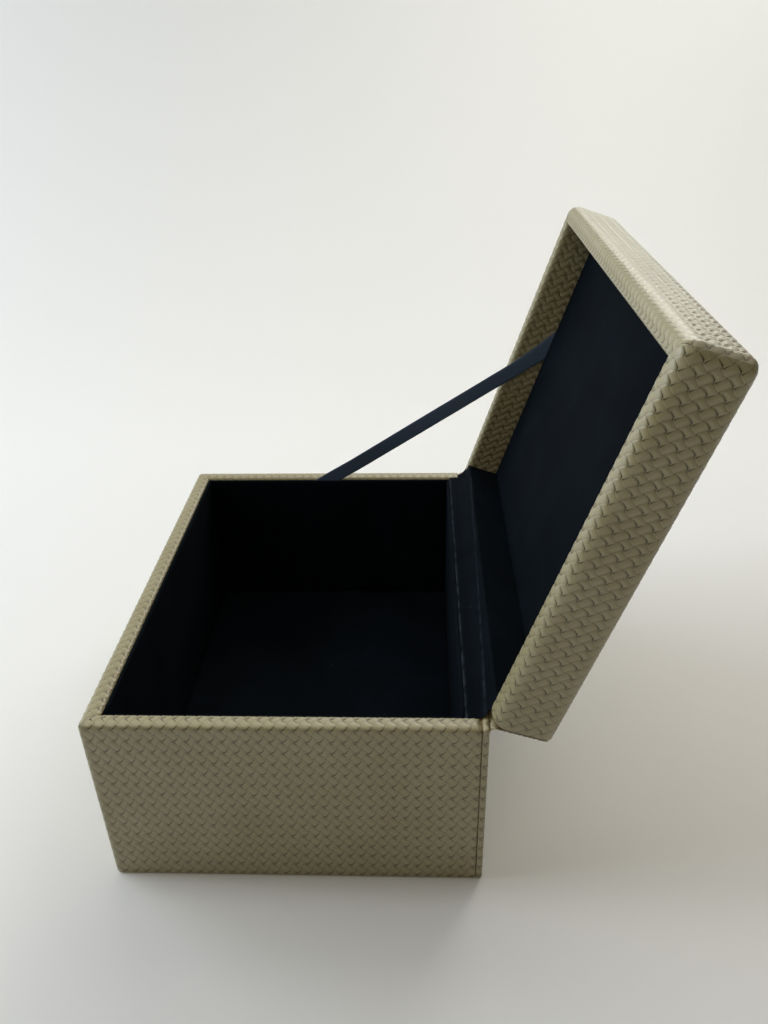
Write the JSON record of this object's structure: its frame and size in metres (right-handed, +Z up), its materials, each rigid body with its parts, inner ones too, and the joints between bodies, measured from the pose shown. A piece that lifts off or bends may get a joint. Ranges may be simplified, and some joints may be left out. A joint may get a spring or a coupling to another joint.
{
  "type": "storage box",
  "caption": "Rectangular storage box in pale woven-embossed leather with a dark velvet lining and a deep lid on a leather hinge, held open by a stay ribbon.",
  "frame": {"origin": "middle of the base carcass's footprint, on the surface the box stands on", "axes": "+Z up, front towards -Y, hinge side towards +Y, +X towards the right side seen from the front"},
  "size_m": [0.2706, 0.2968, 0.3047],
  "materials": {
    "woven_leather": "satin, embossed weave",
    "board": "raw fibreboard",
    "lining_card": "grey paperboard",
    "velvet": "short pile",
    "felt": "matte felt",
    "ribbon": "matte woven ribbon"
  },
  "bodies": {
    "base": {"underside_felt": "felt", "base_bottom_board": "board", "base_front_board": "board", "base_rear_board": "board", "base_left_board": "board", "base_right_board": "board", "back_panel_board": "board", "base_leather_wrap": "woven_leather", "back_panel_leather": "woven_leather", "floor_lining_card": "lining_card", "front_lining_card": "lining_card", "rear_lining_card": "lining_card", "left_lining_card": "lining_card", "right_lining_card": "lining_card", "floor_lining_velvet": "velvet", "front_lining_velvet": "velvet", "rear_lining_velvet": "velvet", "left_lining_velvet": "velvet", "right_lining_velvet": "velvet", "hinge_leather": "woven_leather", "hinge_velvet": "velvet", "lid_stay_ribbon": "ribbon"},
    "lid": {"lid_top_board": "board", "lid_front_board": "board", "lid_rear_board": "board", "lid_left_board": "board", "lid_right_board": "board", "lid_leather_band": "woven_leather", "lid_cover_leather": "woven_leather", "lid_panel_card": "lining_card", "lid_panel_velvet": "velvet"}
  },
  "joints": [
    {"name": "lid_hinge", "type": "hinge", "parent": "base", "child": "lid", "pos_m": [0, 0.1033, 0.112], "axis": [1, 0, 0], "range_deg": [0, 108.3], "deforming": ["hinge_leather", "hinge_velvet", "lid_stay_ribbon"]}
  ]
}
